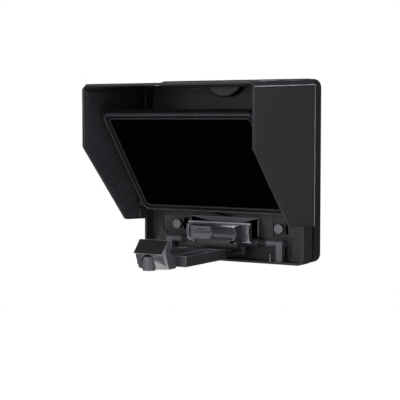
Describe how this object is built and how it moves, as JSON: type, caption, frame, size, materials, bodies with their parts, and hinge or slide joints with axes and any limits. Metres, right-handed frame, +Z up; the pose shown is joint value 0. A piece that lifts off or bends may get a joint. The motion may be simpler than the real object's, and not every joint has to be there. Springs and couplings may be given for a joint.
{
  "type": "teleprompter",
  "caption": "Folding teleprompter: lens tray with a hinged beam-splitter glass, three-flap hood and a telescopic clamp for a phone or tablet.",
  "frame": {"origin": "mouth of the tripod thread, on the mid-plane of the rear frame, at the bottom", "axes": "+X to the right seen from the presenter, +Y towards the camera lens, +Z up"},
  "size_m": [0.196, 0.1943, 0.19],
  "materials": {
    "shell_plastic": "satin moulded, fine grain",
    "frame_plastic": "satin moulded",
    "dock_plastic": "grey satin",
    "trim_rubber": "matt",
    "hood_board": "fine leather-like grain",
    "hood_felt": "felt",
    "steel": "satin",
    "screw_steel": "dark, satin",
    "ring_metal": "black anodised",
    "insert_brass": "machined",
    "glass_frame_plastic": "satin",
    "glass": "polished, part-mirrored",
    "holder_plastic": "satin",
    "slide_metal": "dark anodised",
    "jaw_plastic": "satin grey"
  },
  "bodies": {
    "housing": {"tray": "shell_plastic", "dock_block": "dock_plastic", "pull_tab": "dock_plastic", "tab_trim": "trim_rubber", "hood_collar": "hood_board", "fold_wires": "steel", "back_frame": "frame_plastic", "rear_cover": "frame_plastic", "cover_screws": "screw_steel", "lens_seat": "ring_metal", "seat_screws": "screw_steel", "light_baffle": "frame_plastic", "tripod_insert": "insert_brass", "glass_bracket_left": "shell_plastic", "glass_bracket_right": "shell_plastic", "bracket_screws": "screw_steel", "axle_ears": "dock_plastic", "axle_spacers": "trim_rubber", "holder_axle": "steel", "rest_pins": "steel"},
    "lens_adapter": {"lens_ring": "ring_metal", "snap_ring": "steel"},
    "ring_lock": {"lock_screw": "screw_steel"},
    "glass_unit": {"glass_frame": "glass_frame_plastic", "glass_bezel": "glass_frame_plastic", "beam_splitter": "glass", "glass_gasket": "trim_rubber", "glass_pins": "steel", "friction_washers": "steel", "bezel_screws": "screw_steel"},
    "top_flap": {"hood_top": "hood_board", "hood_top_lining": "hood_felt", "hood_corner_left": "hood_board", "hood_corner_right": "hood_board"},
    "left_flap": {"hood_left": "hood_board", "hood_left_lining": "hood_felt"},
    "right_flap": {"hood_right": "hood_board", "hood_right_lining": "hood_felt"},
    "holder": {"hinge_block": "holder_plastic", "base_rail": "slide_metal", "rear_plate": "jaw_plastic", "rear_jaw": "jaw_plastic", "rear_jaw_pad": "trim_rubber", "jaw_screws": "screw_steel"},
    "mid_slide": {"mid_stage": "slide_metal"},
    "front_slide": {"front_sleeve": "holder_plastic", "front_jaw": "holder_plastic", "front_jaw_cap": "trim_rubber", "front_jaw_pad": "trim_rubber", "button_spring": "steel"},
    "button": {"release_button": "jaw_plastic"},
    "left_latch": {"latch_left": "jaw_plastic"},
    "right_latch": {"latch_right": "jaw_plastic"}
  },
  "joints": [
    {"name": "glass_fold", "type": "hinge", "parent": "housing", "child": "glass_unit", "pos_m": [0, -0.04656, 0.05864], "axis": [-1, 0, 0], "range_deg": [0, 38]},
    {"name": "top_flap_lift", "type": "hinge", "parent": "housing", "child": "top_flap", "pos_m": [0, -0.0395, 0.18603], "axis": [-1, 0, 0], "range_deg": [0, 90]},
    {"name": "left_flap_swing", "type": "hinge", "parent": "housing", "child": "left_flap", "pos_m": [-0.09685, -0.0395, 0.11], "axis": [0, 0, -1], "range_deg": [-3, 90]},
    {"name": "right_flap_swing", "type": "hinge", "parent": "housing", "child": "right_flap", "pos_m": [0.09685, -0.0395, 0.11], "axis": [0, 0, 1], "range_deg": [-3, 90]},
    {"name": "holder_tilt", "type": "hinge", "parent": "housing", "child": "holder", "pos_m": [0, -0.027, 0.021], "axis": [-1, 0, 0], "range_deg": [0, 15]},
    {"name": "jaw_slide", "type": "slide", "parent": "holder", "child": "front_slide", "axis": [0, -1, 0], "range_m": [-0.038, 0.081]},
    {"name": "mid_stage_slide", "type": "slide", "parent": "holder", "child": "mid_slide", "axis": [0, -1, 0], "range_m": [-0.019, 0.0405]},
    {"name": "release_press", "type": "slide", "parent": "front_slide", "child": "button", "axis": [0, 1, 0], "range_m": [0, 0.0025], "stiffness_N_per_m": 600, "springref_m": -0.002, "deforming": ["button_spring"]},
    {"name": "left_latch_slide", "type": "slide", "parent": "housing", "child": "left_latch", "axis": [1, 0, 0], "range_m": [0, 0.0045]},
    {"name": "right_latch_slide", "type": "slide", "parent": "housing", "child": "right_latch", "axis": [-1, 0, 0], "range_m": [0, 0.0045]},
    {"name": "lens_ring_turn", "type": "hinge", "parent": "housing", "child": "lens_adapter", "pos_m": [0, 0.007, 0.102], "axis": [0, 1, 0], "continuous": true},
    {"name": "ring_lock_turn", "type": "hinge", "parent": "housing", "child": "ring_lock", "pos_m": [0.06, 0.012, 0.102], "axis": [1, 0, 0], "continuous": true}
  ],
  "couplings": [
    {"joint": "mid_stage_slide", "follows": "jaw_slide", "ratio": 0.5}
  ]
}
